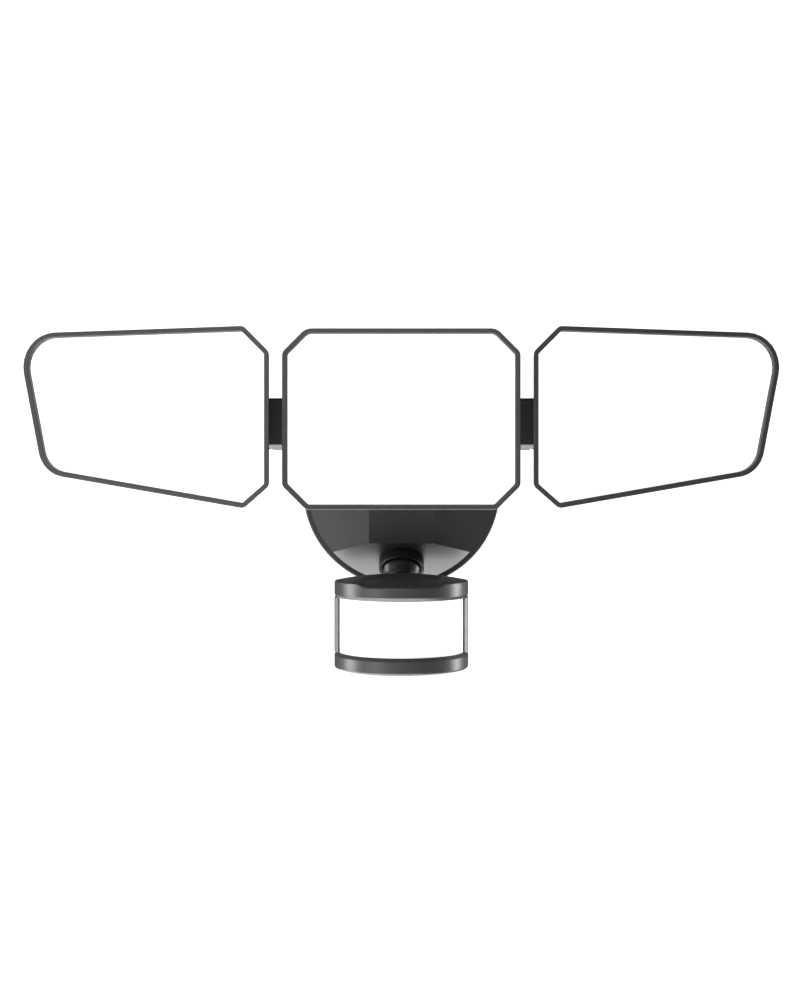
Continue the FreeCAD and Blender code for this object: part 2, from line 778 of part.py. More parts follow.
def dipUnderside():
    """What the wall under the dip takes from the room below the roof."""
    half = dipTopHalfWidth + 1.5
    under = box((-half, -200, sensorCapBottom), (half, dipRearY + 1.5, sensorTopEdge + 10))
    return under.cut(crownBall(dipDepth + sensorWall - 0.5))


def topCap():
    top = sensorTopEdge + sensorCrownRise + 5
    bevelTop = sensorCapBottom + capBevelHeight
    bevel = sensorTaper(capBevelDepth, sensorCapBottom, 0, bevelTop)
    outer = crownAndShoulder(fuse([bevel, sensorSlice(0, bevelTop, top)]), 0)
    inner = crownAndShoulder(sensorSlice(sensorWall, sensorCapBottom - 1, top), sensorWall)
    inner = inner.cut(dipUnderside())
    cap = outer.cut(frontDip()).cut(inner)
    return cap.cut(rod(ballCentre, facetNormal, threadRadius, stemReach + 10))


def rearCase():
    """The wall around the back of the sensor, ending in a bevelled post at each side of the lens."""
    high = sensorCapBottom
    low = sensorSillTop
    outer = sensorSlice(0, low, high)
    behind = crownAndShoulder(outer, 0)
    inner = crownAndShoulder(sensorSlice(sensorWall, low - 1, high + 1), sensorWall)
    run = 10.0
    facet = math.radians(postFacetAngle)
    outerX = postFrontHalfWidth + run * math.cos(facet)
    outerY = postFrontY + run * math.sin(facet)
    plan = [(postFrontHalfWidth, postFrontY), (outerX, outerY), (60, outerY), (60, -120)]
    plan += [(-x, y) for x, y in reversed(plan)]
    case = behind.cut(inner).cut(prism(plan, "z", low - 1, high + 1))
    return case.cut(rod(ballCentre, facetNormal, threadRadius, stemReach + 10))


def bottomCap():
    bevelFoot = sensorSillTop - capBevelHeight
    outer = sensorSlice(0, sensorBottom, bevelFoot)
    edges = [e for e in outer.Edges if abs(e.BoundBox.ZMax - sensorBottom) < 0.01]
    outer = outer.makeFillet(2.0, edges)
    outer = fuse([outer, sensorTaper(0, bevelFoot, capBevelDepth, sensorSillTop)])
    inner = sensorSlice(sensorWall, sensorBottom + sensorWall, sensorSillTop + 1)
    cap = outer.cut(inner)
    for n in (-1, 0, 1):
        cap = cap.cut(rod(Vector(n * knobSpacing, knobY, sensorBottom - 1), zAxis, knobRadius + 0.3, 5))
    return cap


def sensorLens():
    """A thin curved band just inside the caps and the posts."""
    outer = sensorRadius - sensorWall
    low = sensorSillTop - 2.0
    height = sensorCapBottom + 2.0 - low
    band = ring(Vector(0, sensorCentreY, low), zAxis, outer, outer - sensorLensThickness, height)
    return band.common(box((-60, -120, low - 1), (60, sensorCentreY - 6.0, low + height + 1)))


def knob():
    """A small dial: a finger rim, a shaft up into its control and a pointer groove."""
    rim = rod(Vector(0, knobY, sensorBottom - 2.0), zAxis, knobRadius, 5.5)
    shaft = rod(Vector(0, knobY, sensorBottom + 3.5), zAxis, 2.0, 8.0)
    groove = box((-0.6, knobY - knobRadius, sensorBottom - 3.0), (0.6, knobY, sensorBottom - 1.2))
    return rim.fuse(shaft).removeSplitter().cut(groove)


def makeSensor():
    save(topCap(), "sensor_top_cap")
    save(rearCase(), "sensor_rear_case")
    save(bottomCap(), "sensor_bottom_cap")
    save(sensorLens(), "sensor_lens")
    boardFront = -52.0
    board = box((-33, boardFront, -106), (33, boardFront + 1.6, -68))
    save(board, "sensor_board")
    can = rod(Vector(0, boardFront, -84), -yAxis, 4.6, 4.5).fuse(
        rod(Vector(0, boardFront, -84), -yAxis, 5.4, 0.8)
    )
    save(can.removeSplitter(), "pyro_sensor")
    controls = []
    for n, name in ((-1, "time_knob"), (0, "lux_knob"), (1, "range_knob")):
        x = n * knobSpacing
        body = box((x - 5.5, knobY - 5.5, -105.5), (x + 5.5, boardFront, -98.5))
        controls.append(body.cut(rod(Vector(x, knobY, -106), zAxis, 2.0 + runningClearance, 6.8)))
        dial = knob()
        dial.translate(xAxis * x)
        save(dial, name)
    save(Part.makeCompound(controls), "adjuster_controls")


os.makedirs("parts", exist_ok=True)
makeCanopy()
makeBridge()
makeArms()
makeHeads()
makeBallJoint()
makeSensor()
print("ball centre", [round(v, 2) for v in ballCentre], "facet normal", [round(v, 4) for v in facetNormal])
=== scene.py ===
import json
import math

import bmesh
import bpy
import numpy as np
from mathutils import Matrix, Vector


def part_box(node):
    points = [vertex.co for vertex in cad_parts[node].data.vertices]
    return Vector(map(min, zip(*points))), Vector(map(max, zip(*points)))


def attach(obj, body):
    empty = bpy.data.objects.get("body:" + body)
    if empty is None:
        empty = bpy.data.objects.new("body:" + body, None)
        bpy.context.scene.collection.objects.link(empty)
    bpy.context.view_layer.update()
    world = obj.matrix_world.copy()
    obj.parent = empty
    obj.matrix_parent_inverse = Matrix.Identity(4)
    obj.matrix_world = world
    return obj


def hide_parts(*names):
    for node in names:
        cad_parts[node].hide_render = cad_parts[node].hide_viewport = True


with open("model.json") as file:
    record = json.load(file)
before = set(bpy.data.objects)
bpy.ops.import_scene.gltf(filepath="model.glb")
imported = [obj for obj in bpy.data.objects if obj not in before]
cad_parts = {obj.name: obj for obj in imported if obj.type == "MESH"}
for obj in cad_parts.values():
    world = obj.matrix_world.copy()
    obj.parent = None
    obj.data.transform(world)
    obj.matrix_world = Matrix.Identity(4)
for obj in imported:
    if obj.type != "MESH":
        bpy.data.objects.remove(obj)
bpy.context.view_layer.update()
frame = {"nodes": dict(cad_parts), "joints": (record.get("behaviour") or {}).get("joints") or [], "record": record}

mm = 0.001
jointPlace = {joint["name"]: np.array(joint["pos_m"]) / mm for joint in frame["joints"]}
print("frame loaded:", len(frame["nodes"]), "nodes")


# Shader maths: a Value is one socket, and arithmetic on it adds Math nodes.
class Value:
    def __init__(self, finish, socket):
        self.finish = finish
        self.socket = socket

    def math(self, operation, first, second):
        return self.finish.node("ShaderNodeMath", {"operation": operation}, {0: first, 1: second})

    def __add__(self, other):
        return self.math("ADD", self, other)

    def __radd__(self, other):
        return self.math("ADD", other, self)

    def __sub__(self, other):
        return self.math("SUBTRACT", self, other)

    def __rsub__(self, other):
        return self.math("SUBTRACT", other, self)

    def __mul__(self, other):
        return self.math("MULTIPLY", self, other)

    def __rmul__(self, other):
        return self.math("MULTIPLY", other, self)

    def __gt__(self, other):
        return self.math("GREATER_THAN", self, other)


# A Finish is one material. What is even all over goes straight on the shader's sockets.
class Finish:
    def __init__(self, name, **even):
        self.material = bpy.data.materials.new(name)
        self.material.use_nodes = True
        self.tree = self.material.node_tree
        self.shader = self.tree.nodes["Principled BSDF"]
        for socket, value in even.items():
            self.shader.inputs[socket.replace("_", " ")].default_value = value
        self.place = self.node("ShaderNodeTexCoord", output="Object")

    def node(self, kind, settings=None, sockets=None, output=0):
        made = self.tree.nodes.new(kind)
        for key, value in (settings or {}).items():
            if key == "stops":
                fillRamp(made.color_ramp, value)
            else:
                setattr(made, key, value)
        for key, value in (sockets or {}).items():
            if isinstance(value, Value):
                self.tree.links.new(value.socket, made.inputs[key])
            else:
                made.inputs[key].default_value = value
        return Value(self, made.outputs[output])

    def feed(self, socket, value):
        self.tree.links.new(value.socket, self.shader.inputs[socket])

    def stretched(self, stretch):
        return self.node("ShaderNodeMapping", {}, {"Vector": self.place, "Scale": stretch})

    def noise(self, size, detail=2.0, place=None):
        # size is the width of one patch in millimetres
        sockets = {"Vector": place or self.place, "Scale": 1.0 / (size * mm), "Detail": detail}
        return self.node("ShaderNodeTexNoise", {}, sockets)

    def blendColour(self, factor, first, second):
        return self.node("ShaderNodeMix", {"data_type": "RGBA"}, {0: factor, 6: first, 7: second}, 2)

    def ramp(self, factor, low, high):
        stops = [(low, (0, 0, 0, 1)), (high, (1, 1, 1, 1))]
        return self.node("ShaderNodeValToRGB", {"stops": stops}, {0: factor})

    def relief(self, height, depth):
        # depth is the height of the relief in millimetres
        sockets = {"Height": height, "Distance": depth * mm, "Strength": 1.0}
        self.feed("Normal", self.node("ShaderNodeBump", {}, sockets))


def fillRamp(ramp, stops):
    while len(ramp.elements) < len(stops):
        ramp.elements.new(0.5)
    for element, (position, colour) in zip(ramp.elements, stops):
        element.position = position
        element.color = colour


def grey(level, warmth=0.0):
    return (level * (1 + warmth), level, level * (1 - warmth), 1.0)


castingLook = {"colour": 0.085, "mottle": 0.008, "mottleSize": 18.0, "roughness": 0.40, "metallic": 0.55,
               "grain": 0.45, "grainDepth": 0.012}


def coatedCasting():
    # charcoal powder coat on cast aluminium: fine peel, with slow drifts of tone and gloss
    look = castingLook
    finish = Finish("coatedCasting", Metallic=look["metallic"])
    drift = finish.noise(look["mottleSize"], 3.0)
    peel = finish.noise(look["grain"], 2.0)
    low = grey(look["colour"] - look["mottle"])
    high = grey(look["colour"] + look["mottle"], -0.01)
    finish.feed("Base Color", finish.blendColour(drift, low, high))
    finish.feed("Roughness", look["roughness"] - 0.04 + drift * 0.05 + peel * 0.06)
    finish.relief(peel, look["grainDepth"])
    return finish


caseLook = {"colour": 0.08, "mottle": 0.006, "mottleSize": 26.0, "roughness": 0.36, "metallic": 0.5,
            "spark": 0.3, "sparkDepth": 0.006}


def casePlastic():
    # charcoal moulded case with an even spark-eroded texture
    look = caseLook
    finish = Finish("casePlastic", Metallic=look["metallic"])
    drift = finish.noise(look["mottleSize"], 2.0)
    spark = finish.noise(look["spark"], 3.0)
    low = grey(look["colour"] - look["mottle"])
    high = grey(look["colour"] + look["mottle"], -0.01)
    finish.feed("Base Color", finish.blendColour(drift, low, high))
    finish.feed("Roughness", look["roughness"] - 0.03 + spark * 0.06)
    finish.relief(spark, look["sparkDepth"])
    return finish


def blackPlastic():
    # black nylon of the ball, the knobs and the driver, with faint rub marks
    finish = Finish("blackPlastic")
    rub = finish.noise(1.2, 4.0, finish.stretched((1.0, 1.0, 0.15)))
    drift = finish.noise(14.0, 2.0)
    finish.feed("Base Color", finish.blendColour(drift, grey(0.007), grey(0.013)))
    finish.feed("Roughness", 0.3 + rub * 0.14)
    finish.relief(rub, 0.004)
    return finish


lensLook = {"colour": 0.93, "glow": 0.85, "roughness": 0.32, "cloud": 30.0, "speck": 0.6}


def opalLens():
    # opal diffuser: almost even white, with very faint clouding and a satin skin; its glow is painted light that
    # keeps it white
    look = lensLook
    # the emission is painted light: the lens glows by itself so that it stays white
    finish = Finish("opalLens", Emission_Strength=look["glow"])
    cloud = finish.noise(look["cloud"], 2.0)
    speck = finish.noise(look["speck"], 2.0)
    colour = finish.blendColour(cloud, grey(look["colour"] - 0.015, 0.004), grey(look["colour"] + 0.01))
    finish.feed("Base Color", colour)
    finish.feed("Emission Color", colour)
    finish.feed("Roughness", look["roughness"] + speck * 0.08)
    finish.relief(speck, 0.003)
    return finish


filmLook = {"glow": 0.55, "cloud": 9.0, "grain": 0.35}


def sensorFilm():
    # white lens film of the sensor, a little milkier than the lamps' lenses; its glow is painted light that keeps
    # it white
    look = filmLook
    # the emission is painted light: the film glows by itself, though the sensor gives no light
    finish = Finish("sensorFilm", Emission_Strength=look["glow"])
    cloud = finish.noise(look["cloud"], 3.0)
    grain = finish.noise(look["grain"], 2.0)
    colour = finish.blendColour(cloud, grey(0.89, 0.006), grey(0.93))
    finish.feed("Base Color", colour)
    finish.feed("Emission Color", colour)
    finish.feed("Roughness", 0.38 + grain * 0.1)
    finish.relief(grain, 0.004)
    return finish


def foamRubber():
    # black closed-cell foam with open cells on its skin
    finish = Finish("foamRubber")
    cells = finish.node("ShaderNodeTexVoronoi", {}, {"Vector": finish.place, "Scale": 1.0 / (0.7 * mm)})
    finish.feed("Base Color", finish.blendColour(cells, grey(0.006), grey(0.022)))
    finish.feed("Roughness", 0.75 + cells * 0.2)
    finish.relief(cells, 0.08)
    return finish


def zincSteel():
    # zinc plating: pale, with the faint scratches and bluish tint of rolled sheet
    finish = Finish("zincSteel", Metallic=1.0)
    grain = finish.noise(0.6, 3.0, finish.stretched((0.05, 1.0, 1.0)))
    patch = finish.noise(7.0, 3.0)
    colour = finish.blendColour(patch, (0.50, 0.52, 0.55, 1), (0.66, 0.66, 0.63, 1))
    finish.feed("Base Color", colour)
    finish.feed("Roughness", 0.26 + grain * 0.2)
    finish.relief(grain, 0.004)
    return finish


def blackSteel():
    # black oxide on turned steel, worn a little brighter in patches
    finish = Finish("blackSteel", Metallic=0.85)
    turned = finish.noise(0.5, 2.0)
    patch = finish.noise(4.0, 3.0)
    finish.feed("Base Color", finish.blendColour(patch, grey(0.02), grey(0.05, 0.05)))
    finish.feed("Roughness", 0.34 + turned * 0.16)
    finish.relief(turned, 0.004)
    return finish


def whiteBoard():
    # white solder mask over copper pours that print through as soft fields
    finish = Finish("whiteBoard")
    pour = finish.ramp(finish.noise(8.0, 1.0), 0.48, 0.52)
    finish.feed("Base Color", finish.blendColour(pour, grey(0.72, 0.01), grey(0.82)))
    finish.feed("Roughness", 0.42 + pour * 0.06)
    finish.relief(pour, 0.03)
    return finish


def greenBoard():
    # green solder mask with raised traces
    finish = Finish("greenBoard")
    weave = finish.node("ShaderNodeTexVoronoi", {"distance": "MANHATTAN"},
                        {"Vector": finish.place, "Scale": 1.0 / (2.4 * mm)})
    trace = finish.ramp(weave, 0.42, 0.5)
    finish.feed("Base Color", finish.blendColour(trace, (0.008, 0.07, 0.03, 1), (0.02, 0.17, 0.07, 1)))
    finish.feed("Roughness", 0.3 + trace * 0.1)
    finish.relief(trace, 0.03)
    return finish


def phosphor():
    # yellow phosphor gel of the LED packages
    finish = Finish("phosphor", Coat_Weight=0.4)
    grain = finish.noise(0.3, 3.0)
    finish.feed("Base Color", finish.blendColour(grain, (0.72, 0.50, 0.06, 1), (0.85, 0.68, 0.16, 1)))
    finish.feed("Roughness", 0.35 + grain * 0.15)
    finish.relief(grain, 0.006)
    return finish


def nylon():
    # natural nylon of washers and of the cup behind the ball
    finish = Finish("nylon")
    cloud = finish.noise(3.0, 3.0)
    finish.feed("Base Color", finish.blendColour(cloud, grey(0.55, 0.05), grey(0.68, 0.03)))
    finish.feed("Roughness", 0.4 + cloud * 0.12)
    finish.relief(cloud, 0.006)
    return finish


def nickelCan():
    # drawn nickel-plated can of the pyroelectric detector
    finish = Finish("nickelCan", Metallic=1.0)
    drawn = finish.noise(0.4, 2.0, finish.stretched((1.0, 0.1, 1.0)))
    finish.feed("Base Color", finish.blendColour(drawn, grey(0.62, 0.03), grey(0.74, 0.03)))
    finish.feed("Roughness", 0.16 + drawn * 0.14)
    finish.relief(drawn, 0.003)
    return finish


def wireCap():
    # orange moulded twist-on wire caps
    finish = Finish("wireCap")
    drift = finish.noise(5.0, 2.0)
    grain = finish.noise(0.4, 2.0)
    finish.feed("Base Color", finish.blendColour(drift, (0.62, 0.13, 0.01, 1), (0.74, 0.19, 0.02, 1)))
    finish.feed("Roughness", 0.34 + grain * 0.12)
    finish.relief(grain, 0.006)
    return finish


def wireCover():
    # insulation: black, white and green leads, told apart by where they lie across the canopy
    finish = Finish("wireCover")
    across = finish.node("ShaderNodeSeparateXYZ", {}, {0: finish.place}, "X")
    scuff = finish.noise(1.5, 3.0)
    middle = across > -7.0 * mm
    right = across > 7.0 * mm
    blackOrWhite = finish.blendColour(middle, grey(0.012), grey(0.70, 0.02))
    colour = finish.blendColour(right, blackOrWhite, (0.02, 0.22, 0.05, 1))
    finish.feed("Base Color", colour)
    finish.feed("Roughness", 0.36 + scuff * 0.14)
    finish.relief(scuff, 0.01)
    return finish


finishOfSlot = {
    "coated_casting": coatedCasting(),
    "case_plastic": casePlastic(),
    "dark_plastic": blackPlastic(),
    "opal_lens": opalLens(),
    "pir_film": sensorFilm(),
    "seal_rubber": foamRubber(),
    "zinc_steel": zincSteel(),
    "black_steel": blackSteel(),
    "white_board": whiteBoard(),
    "green_board": greenBoard(),
    "led_chip": phosphor(),
    "nylon": nylon(),
    "sensor_can": nickelCan(),
    "wire_cap": wireCap(),
    "wire_cover": wireCover(),
}
slotOfNode = {part["node"]: part["material_slot"] for part in frame["record"]["subparts"]}
bodyOfNode = {node: body for body, nodes in frame["record"]["behaviour"]["bodies"].items() for node in nodes}
for node, cadObject in frame["nodes"].items():
    for materialSlot in cadObject.material_slots:
        materialSlot.material = finishOfSlot[slotOfNode[node]].material
print("finishes made:", len(finishOfSlot))


# Surfaces: grids of points become closed meshes.
def unit(vectors):
    # each vector divided by its own length
    return vectors / np.linalg.norm(vectors, axis=-1, keepdims=True)


def gridFaces(rings, count, loop):
    # quads between each ring and the next, all the way round; the two end rings are closed by a face each
    index = np.arange(rings * count).reshape(rings, count)
    here = index if loop else index[:-1]
    there = np.roll(index, -1, axis=0) if loop else index[1:]
    quads = np.stack([here, np.roll(here, -1, axis=1), np.roll(there, -1, axis=1), there], -1).reshape(-1, 4)
    ends = [] if loop else [index[0, ::-1].tolist(), index[-1].tolist()]
    return quads.tolist() + ends


def meshPiece(name, grid, loop=False, sharpAngle=35.0):
    # the grid is an array of rings (ring, point, xyz) in millimetres; in a loop the last ring meets the first
    rings, count = grid.shape[:2]
    mesh = bpy.data.meshes.new(name)
    mesh.from_pydata(grid.reshape(-1, 3) * mm, [], gridFaces(rings, count, loop))
    piece = bpy.data.objects.new(name, mesh)
    bpy.context.scene.collection.objects.link(piece)
    cleanMesh(mesh, sharpAngle)
    return piece


mergeDistance = 0.002


def cleanMesh(mesh, sharpAngle, flat=None):
    # doubles are merged, so that poles close, triangles within the flat angle are joined,
    # and all faces are turned outwards
    work = bmesh.new()
    work.from_mesh(mesh)
    bmesh.ops.remove_doubles(work, verts=work.verts, dist=mergeDistance * mm)
    if flat:
        bmesh.ops.dissolve_limit(work, angle_limit=math.radians(flat), verts=work.verts, edges=work.edges)
    bmesh.ops.recalc_face_normals(work, faces=work.faces)
    work.to_mesh(mesh)
    work.free()
    mesh.shade_smooth()
    if sharpAngle:
        mesh.set_sharp_from_angle(angle=math.radians(sharpAngle))


def evenShading(piece):
    # flat faces keep their own normals, and only the small roundings carry the turn
    shading = piece.modifiers.new("evenShading", "WEIGHTED_NORMAL")
    shading.keep_sharp = True


def install(piece, node):
    # the piece stands for one CAD node: its body, its material slot and its finish
    slot = slotOfNode[node]
    piece.data.materials.clear()
    piece.data.materials.append(finishOfSlot[slot].material)
    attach(piece, bodyOfNode[node])
    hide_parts(node)
    return piece


def softened(node, width, angle=12.0):
    # a merged copy of a casting or moulding, with every crisp edge rounded by a small bevel
    mesh = frame["nodes"][node].data.copy()
    mesh.name = node + "_soft"
    piece = bpy.data.objects.new(node + "_soft", mesh)
    bpy.context.scene.collection.objects.link(piece)
    cleanMesh(mesh, None, flat=0.3)
    bevel = piece.modifiers.new("edgeRounding", "BEVEL")
    bevel.width = width * mm
    bevel.segments = 3
    bevel.limit_method = "ANGLE"
    bevel.angle_limit = math.radians(angle)
    bevel.use_clamp_overlap = True
    evenShading(piece)
    return install(piece, node)


def softPath(points, radius, steps=4):
    # a run of points whose inner corners become curves: (1-t)^2 a + 2t(1-t) p + t^2 b
    points = np.array(points, float)
    middle = points[1:-1]
    back = points[:-2] - middle
    ahead = points[2:] - middle
    radius = np.broadcast_to(radius, len(middle))[:, None]
    reachBack = np.minimum(radius, np.linalg.norm(back, axis=1, keepdims=True) * 0.49)
    reachAhead = np.minimum(radius, np.linalg.norm(ahead, axis=1, keepdims=True) * 0.49)
    start = middle + unit(back) * reachBack
    end = middle + unit(ahead) * reachAhead
    t = np.linspace(0, 1, steps + 1)[None, :, None]
    curve = (1 - t) ** 2 * start[:, None] + 2 * t * (1 - t) * middle[:, None] + t ** 2 * end[:, None]
    return np.vstack([points[:1], curve.reshape(-1, 2), points[-1:]])


def roundedOutline(corners, insets, steps=9):
    # each corner (x, z, radius) is an arc tangent to its two sides, which move inwards by the inset
    corners = np.array(corners, float)
    point, radius = corners[:, :2], corners[:, 2]
    before = unit(np.roll(point, 1, axis=0) - point)
    after = unit(np.roll(point, -1, axis=0) - point)
    inward = unit(before + after)
    half = np.arccos(np.clip((before * after).sum(1), -1, 1)) / 2
    insets = np.atleast_1d(insets)[:, None]
    shrunk = np.maximum(radius - insets, 0.8)
    centre = point + inward * ((insets + shrunk) / np.sin(half))[..., None]
    crown = np.arctan2(-inward[:, 1], -inward[:, 0])
    angle = crown[:, None] + (np.pi - 2 * half)[:, None] * np.linspace(-0.5, 0.5, steps)
    arc = np.stack([np.cos(angle), np.sin(angle)], -1)
    outline = centre[:, :, None] + shrunk[..., None, None] * arc
    return outline.reshape(len(insets), -1, 2)


def evenly(outline, count):
    # the same closed outline with its points at equal steps along it
    closed = np.vstack([outline, outline[:1]])
    run = np.concatenate([[0], np.cumsum(np.linalg.norm(np.diff(closed, axis=0), axis=1))])
    at = np.linspace(0, run[-1], count, endpoint=False)
    return np.stack([np.interp(at, run, closed[:, 0]), np.interp(at, run, closed[:, 1])], -1)


def lathe(profile, centre, axis, across, count=96):
    # profile pairs are (radius, distance along the axis); the rings stand square to the axis
    axis = unit(np.array(axis, float))
    across = unit(np.array(across, float))
    other = np.cross(axis, across)
    profile = np.array(profile, float)
    angle = np.linspace(0, 2 * np.pi, count, endpoint=False)
    around = np.cos(angle)[:, None] * across + np.sin(angle)[:, None] * other
    return np.array(centre) + profile[:, 0, None, None] * around + profile[:, 1, None, None] * axis


def softMin(a, b, width):
    # the lower of two heights, with the crease between them rounded over the given width
    return 0.5 * (a + b - np.sqrt((a - b) ** 2 + width ** 2))


def softMax(a, b, width):
    # the higher of two heights, rounded in the same way
    return 0.5 * (a + b + np.sqrt((a - b) ** 2 + width ** 2))


# Heads: bezels and lenses are profiles of (inset, depth) carried round the outline of the head.
head = {
    "reach": 50.5,  # from the hinge to the front of the bezel
    "corner": 4.5,
    "upperCorner": 8.0,
    "centreCut": 13.6,
    "sideCut": 15.0,
    "panRest": 10.0,
    "inner": -29.4,
    "topInner": 53.0,
    "bottomInner": -53.5,
    "topOuter": (124.6, 51.7, 20.0),
    "bottomOuter": (108.0, -30.6, 18.0),
    "bezelDepth": 3.5,
    "lip": 2.8,
    "taper": 0.9,
    "edge": 0.5,
    "lensInset": 2.6,
    "lensThickness": 2.0,
    # the black strip of painted shade on the bezel's inner wall: its width and where it starts
    "shadeStrip": 0.2,
    "shadeStripTop": 0.55,
}


def centreOutline():
    # the bezel's box with its four corners cut, as eight corners that each get a small arc
    low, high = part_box("centre_bezel")
    w = (high.x - low.x) / 2 / mm
    h = (high.z - low.z) / 2 / mm
    cut = head["centreCut"]
    places = [(w, cut - h), (w, h - cut), (w - cut, h), (cut - w, h)]
    places += [(-w, h - cut), (-w, cut - h), (cut - w, -h), (w - cut, -h)]
    return [place + (head["upperCorner" if place[1] == h else "corner"],) for place in places]


def sideOutline():
    # the right head about its pan pin: two cut corners beside the arm, two round ones outside
    x, cut, corner = head["inner"], head["sideCut"], head["corner"]
    top = np.array([x, head["topInner"]])
    bottom = np.array([x, head["bottomInner"]])
    topCut = top + unit(np.array(head["topOuter"][:2]) - top) * cut
    bottomCut = bottom + unit(np.array(head["bottomOuter"][:2]) - bottom) * cut
    return [
        (*bottomCut, corner),
        head["bottomOuter"],
        head["topOuter"],
        (*topCut, corner),
        (x, top[1] - cut, corner),
        (x, bottom[1] + cut, corner),
    ]


def headGrid(corners, profile, name):
    # rings of (x, depth, z) about the hinge, then turned to the head's rest angle and put on its pin
    profile = np.array(profile, float)
    outline = roundedOutline(corners, profile[:, 0])
    depth = np.broadcast_to(profile[:, 1, None] - head["reach"], outline.shape[:2])
    return placeHead(np.stack([outline[..., 0], depth, outline[..., 1]], -1), name)


def placeHead(points, name):
    # the centre head goes on its hinge; a side head is turned about its pin, and the left one is mirrored
    if name == "centre":
        return points + jointPlace["centre_head_tilt"] * (0, 1, 1)
    turn = math.radians(head["panRest"])
    x = points[..., 0] * math.cos(turn) - points[..., 1] * math.sin(turn)
    y = points[..., 0] * math.sin(turn) + points[..., 1] * math.cos(turn)
    placed = np.stack([x, y, points[..., 2]], -1) + jointPlace["right_head_pan"]
    return placed if name == "right" else placed * (-1, 1, 1)


def bezelProfile():
    # outer wall, rounded front edges and inner wall, as one closed loop
    edge, lip, back = head["edge"], head["lip"], head["bezelDepth"]
    run = [(1.8, back), (head["taper"], back), (0.0, edge), (0.02, 0), (lip, 0), (lip, back), (1.8, back)]
    return softPath(run, [0.25, 0.3, edge, 0.4, 0.2])[:-1]


def shadeStripProfile():
    # a thin black strip on the inner wall of the bezel, down to the lens: painted shade, a dark sheet standing in
    # for the shade inside the bezel's rim
    start, end = head["lip"] - 0.05, head["lip"] + head["shadeStrip"]
    top, foot = head["shadeStripTop"], head["bezelDepth"] - 0.02
    return np.array([(start, foot), (start, top), (end, top + 0.15), (end, foot)])


def lensProfile():
    # the plate's rim with its two edges rounded; the last ring on each face closes it
    front = head["bezelDepth"]
    back = front + head["lensThickness"]
    rim = head["lensInset"] + 0.03
    return softPath([(rim + 4, back), (rim, back), (rim, front), (rim + 4, front)], [0.2, 0.15])


for name in ("centre", "left", "right"):
    corners = centreOutline() if name == "centre" else sideOutline()
    frameRing = meshPiece(name + "_bezel_frame", headGrid(corners, bezelProfile(), name), loop=True)
    evenShading(install(frameRing, name + "_bezel"))
    plate = meshPiece(name + "_lens_plate", headGrid(corners, lensProfile(), name))
    evenShading(install(plate, name + "_lens"))
    # a black strip of painted shade inside each bezel, in front of the lens
    shadeStrip = meshPiece(name + "_lens_lining", headGrid(corners, shadeStripProfile(), name), loop=True)
    shadeStrip.data.materials.append(finishOfSlot["dark_plastic"].material)
    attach(shadeStrip, bodyOfNode[name + "_bezel"])
    softened(name + "_heat_sink", 0.6)
    softened(name + "_knuckle", 0.7)
    softened(name + "_knuckle_screws", 0.25)
print("heads made")


# Arms, bridge and canopy: castings with softened edges.
for side in ("left", "right"):
    softened(side + "_arm", 0.5)
    softened(side + "_pivot_rivet", 0.4)
softened("bridge_casting", 0.8)
softened("canopy_shell", 0.9, angle=9.0)
softened("mounting_bracket", 0.3)
softened("led_driver", 0.5)
for node in ("canopy_screws", "ground_screw", "bridge_screws", "centre_hinge_bolt", "centre_hinge_nut",
             "retainer_screws", "socket_retainer", "stem_locknut", "wire_connectors", "wall_gasket"):
    softened(node, 0.3)
print("castings softened")


# Ball joint: turned shapes about the axis that stands square on the lower facet.
joint = {"ball": 13.0, "stem": 8.0, "reach": 16.0, "thread": 6.5, "threadEnd": 25.0, "bore": 3.0,
         "collar": 14.7, "collarTop": 4.5, "collarFoot": -9.5, "flange": 17.4, "flangeTop": -6.0, "gap": 0.2}
ballCentre = jointPlace["sensor_tilt"]
swivel = next(j for j in frame["joints"] if j["name"] == "sensor_swivel")
facetNormal = np.array(swivel["axis"])


def ballStem():
    # ball, a small fillet into the stem, the stem's shoulder and its thread, round an open bore
    ball, stem, bore = joint["ball"], joint["stem"], joint["bore"]
    first = math.asin(bore / ball)
    last = math.pi - math.asin(stem / ball) - 0.09
    turn = np.linspace(first, last, 40)
    arc = np.stack([ball * np.sin(turn), -ball * np.cos(turn)], -1)
    neck = softPath([arc[-1], (stem, -ball * math.cos(last) + 1.1), (stem, joint["reach"]),
                     (joint["thread"], joint["reach"]), (joint["thread"], joint["threadEnd"]),
                     (bore, joint["threadEnd"])], [0.9, 0.6, 0.2, 0.5])
    profile = np.vstack([arc[:-1], neck])
    return lathe(profile, ballCentre, facetNormal, (1, 0, 0))


def socketCollar():
    # a collar with a rounded mouth that closes in past the middle of the ball
    room = joint["ball"] + joint["gap"]
    top = joint["collarTop"]
    inner = math.sqrt(room ** 2 - top ** 2)
    height = np.linspace(top - 0.5, 0, 10)
    seat = np.stack([np.sqrt(room ** 2 - height ** 2), height], -1)
    foot = joint["collarFoot"]
    outside = softPath([(room, foot), (joint["flange"], foot), (joint["flange"], joint["flangeTop"]),
                        (joint["collar"], joint["flangeTop"]), (joint["collar"], top),
                        (inner + 0.1, top), seat[0]], [0.3, 0.3, 0.3, 1.1, 0.4])
    profile = np.vstack([outside[:-1], seat])
    return lathe(profile, ballCentre, facetNormal, (1, 0, 0), 128)


evenShading(install(meshPiece("ball_and_stem", ballStem(), loop=True), "ball_stem"))
evenShading(install(meshPiece("collar", socketCollar(), loop=True), "socket_collar"))
print("ball joint made")


